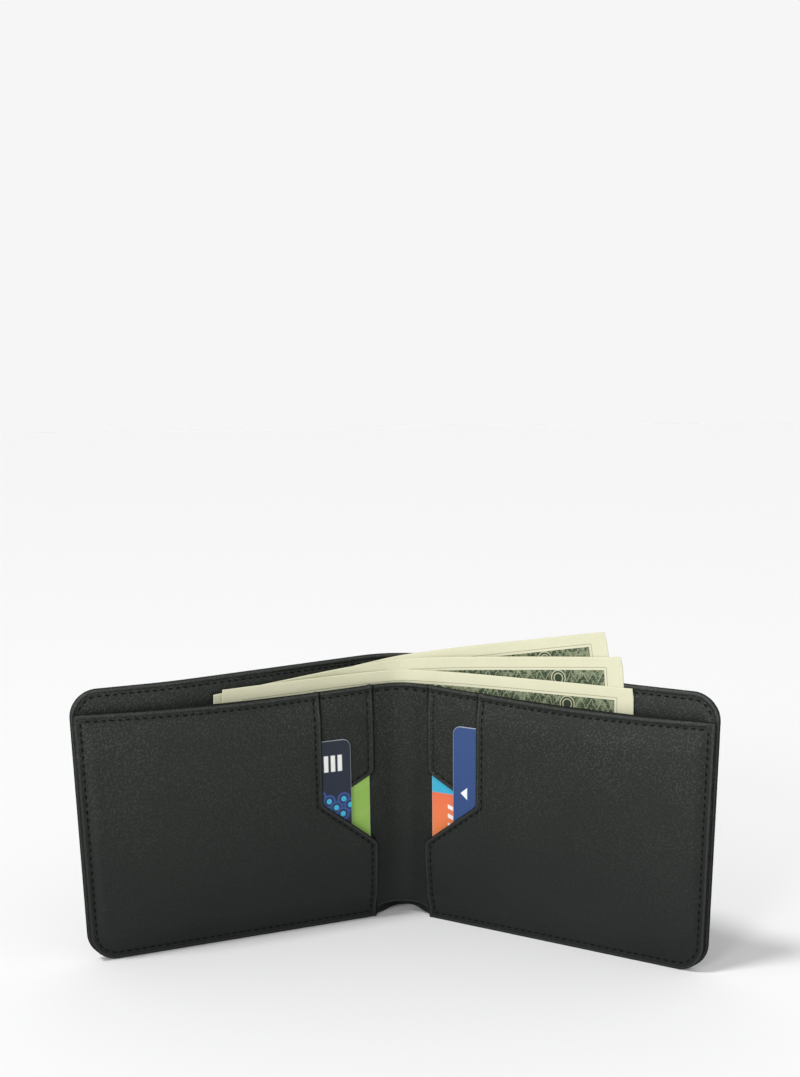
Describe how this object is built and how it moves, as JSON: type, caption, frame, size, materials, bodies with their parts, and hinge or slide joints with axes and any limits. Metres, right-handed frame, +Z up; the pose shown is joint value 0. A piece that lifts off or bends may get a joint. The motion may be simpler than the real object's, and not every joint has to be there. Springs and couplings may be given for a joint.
{
  "type": "bifold wallet",
  "caption": "Black leather bifold wallet standing open in a V, with card pockets on both halves and banknotes in the bill compartment.",
  "frame": {"origin": "on the floor, under the middle of the wallet's box", "axes": "+X across the wallet from the left half to the right half, +Y towards the spine at the back of the V, +Z up"},
  "size_m": [0.222, 0.0731, 0.1168],
  "materials": {
    "shell_leather": "fine pebbled black leather, satin",
    "inner_leather": "fine pebbled black leather, satin",
    "lining": "smooth black woven lining",
    "thread": "waxed black polyester thread",
    "card_navy": "navy card, satin laminate",
    "card_green": "green card, satin laminate",
    "card_blue": "blue card, satin laminate",
    "card_orange": "orange and cyan card, satin laminate",
    "banknote": "cream paper with green print"
  },
  "bodies": {
    "spine": {"shell_spine": "shell_leather", "shell_lining_spine": "lining", "divider_spine": "inner_leather", "divider_lining_spine": "lining", "hem_thread_spine": "thread", "rim_thread_spine": "thread"},
    "left_panel": {"shell_left": "shell_leather", "shell_lining_left": "lining", "divider_left": "inner_leather", "divider_lining_left": "lining", "rear_pocket_left": "inner_leather", "front_pocket_left": "inner_leather", "perimeter_thread_left": "thread", "hem_thread_left": "thread", "rim_thread_left": "thread", "front_pocket_thread_left": "thread", "rear_pocket_thread_left": "thread"},
    "front_card_left": {"front_card_left": "card_navy"},
    "rear_card_left": {"rear_card_left": "card_green"},
    "right_panel": {"shell_right": "shell_leather", "shell_lining_right": "lining", "divider_right": "inner_leather", "divider_lining_right": "lining", "rear_pocket_right": "inner_leather", "front_pocket_right": "inner_leather", "perimeter_thread_right": "thread", "hem_thread_right": "thread", "rim_thread_right": "thread", "front_pocket_thread_right": "thread", "rear_pocket_thread_right": "thread"},
    "front_card_right": {"front_card_right": "card_blue"},
    "rear_card_right": {"rear_card_right": "card_orange"},
    "note_front_left": {"note_front_left": "banknote"},
    "note_front_mid": {"note_front_mid": "banknote"},
    "note_front_right": {"note_front_right": "banknote"},
    "note_middle_left": {"note_middle_left": "banknote"},
    "note_middle_mid": {"note_middle_mid": "banknote"},
    "note_middle_right": {"note_middle_right": "banknote"},
    "note_rear_left": {"note_rear_left": "banknote"},
    "note_rear_mid": {"note_rear_mid": "banknote"},
    "note_rear_right": {"note_rear_right": "banknote"}
  },
  "joints": [
    {"name": "left_fold", "type": "hinge", "parent": "spine", "child": "left_panel", "pos_m": [-0.00507, 0.01918, 0], "axis": [0, 0, 1], "range_deg": [-27, 63], "deforming": ["shell_spine", "shell_lining_spine", "divider_spine", "divider_lining_spine", "hem_thread_spine", "rim_thread_spine", "note_front_mid", "note_middle_mid", "note_rear_mid"]},
    {"name": "right_fold", "type": "hinge", "parent": "spine", "child": "right_panel", "pos_m": [0.00507, 0.01918, 0], "axis": [0, 0, -1], "range_deg": [-27, 63]},
    {"name": "front_card_left_slide", "type": "slide", "parent": "left_panel", "child": "front_card_left", "axis": [0.891, 0.454, 0], "range_m": [-0.0095, 0.014]},
    {"name": "rear_card_left_slide", "type": "slide", "parent": "left_panel", "child": "rear_card_left", "axis": [0.891, 0.454, 0], "range_m": [-0.017, 0.0065]},
    {"name": "front_card_right_slide", "type": "slide", "parent": "right_panel", "child": "front_card_right", "axis": [-0.891, 0.454, 0], "range_m": [-0.0075, 0.016]},
    {"name": "rear_card_right_slide", "type": "slide", "parent": "right_panel", "child": "rear_card_right", "axis": [-0.891, 0.454, 0], "range_m": [-0.0165, 0.007]},
    {"name": "note_front_lift", "type": "slide", "parent": "spine", "child": "note_front_mid", "axis": [0, 0, 1], "range_m": [-0.0235, 0.07]},
    {"name": "note_front_left_fold", "type": "hinge", "parent": "note_front_mid", "child": "note_front_left", "pos_m": [-0.00507, 0.01918, 0], "axis": [0, 0, 1], "range_deg": [-27, 63]},
    {"name": "note_front_right_fold", "type": "hinge", "parent": "note_front_mid", "child": "note_front_right", "pos_m": [0.00507, 0.01918, 0], "axis": [0, 0, -1], "range_deg": [-27, 63]},
    {"name": "note_middle_lift", "type": "slide", "parent": "spine", "child": "note_middle_mid", "axis": [0, 0, 1], "range_m": [-0.022, 0.07]},
    {"name": "note_middle_left_fold", "type": "hinge", "parent": "note_middle_mid", "child": "note_middle_left", "pos_m": [-0.00507, 0.01918, 0], "axis": [0, 0, 1], "range_deg": [-27, 63]},
    {"name": "note_middle_right_fold", "type": "hinge", "parent": "note_middle_mid", "child": "note_middle_right", "pos_m": [0.00507, 0.01918, 0], "axis": [0, 0, -1], "range_deg": [-27, 63]},
    {"name": "note_rear_lift", "type": "slide", "parent": "spine", "child": "note_rear_mid", "axis": [0, 0, 1], "range_m": [-0.0175, 0.07]},
    {"name": "note_rear_left_fold", "type": "hinge", "parent": "note_rear_mid", "child": "note_rear_left", "pos_m": [-0.00507, 0.01918, 0], "axis": [0, 0, 1], "range_deg": [-27, 63]},
    {"name": "note_rear_right_fold", "type": "hinge", "parent": "note_rear_mid", "child": "note_rear_right", "pos_m": [0.00507, 0.01918, 0], "axis": [0, 0, -1], "range_deg": [-27, 63]}
  ],
  "couplings": [
    {"joint": "note_front_left_fold", "follows": "left_fold", "ratio": 1},
    {"joint": "note_front_right_fold", "follows": "right_fold", "ratio": 1},
    {"joint": "note_middle_left_fold", "follows": "left_fold", "ratio": 1},
    {"joint": "note_middle_right_fold", "follows": "right_fold", "ratio": 1},
    {"joint": "note_rear_left_fold", "follows": "left_fold", "ratio": 1},
    {"joint": "note_rear_right_fold", "follows": "right_fold", "ratio": 1}
  ]
}
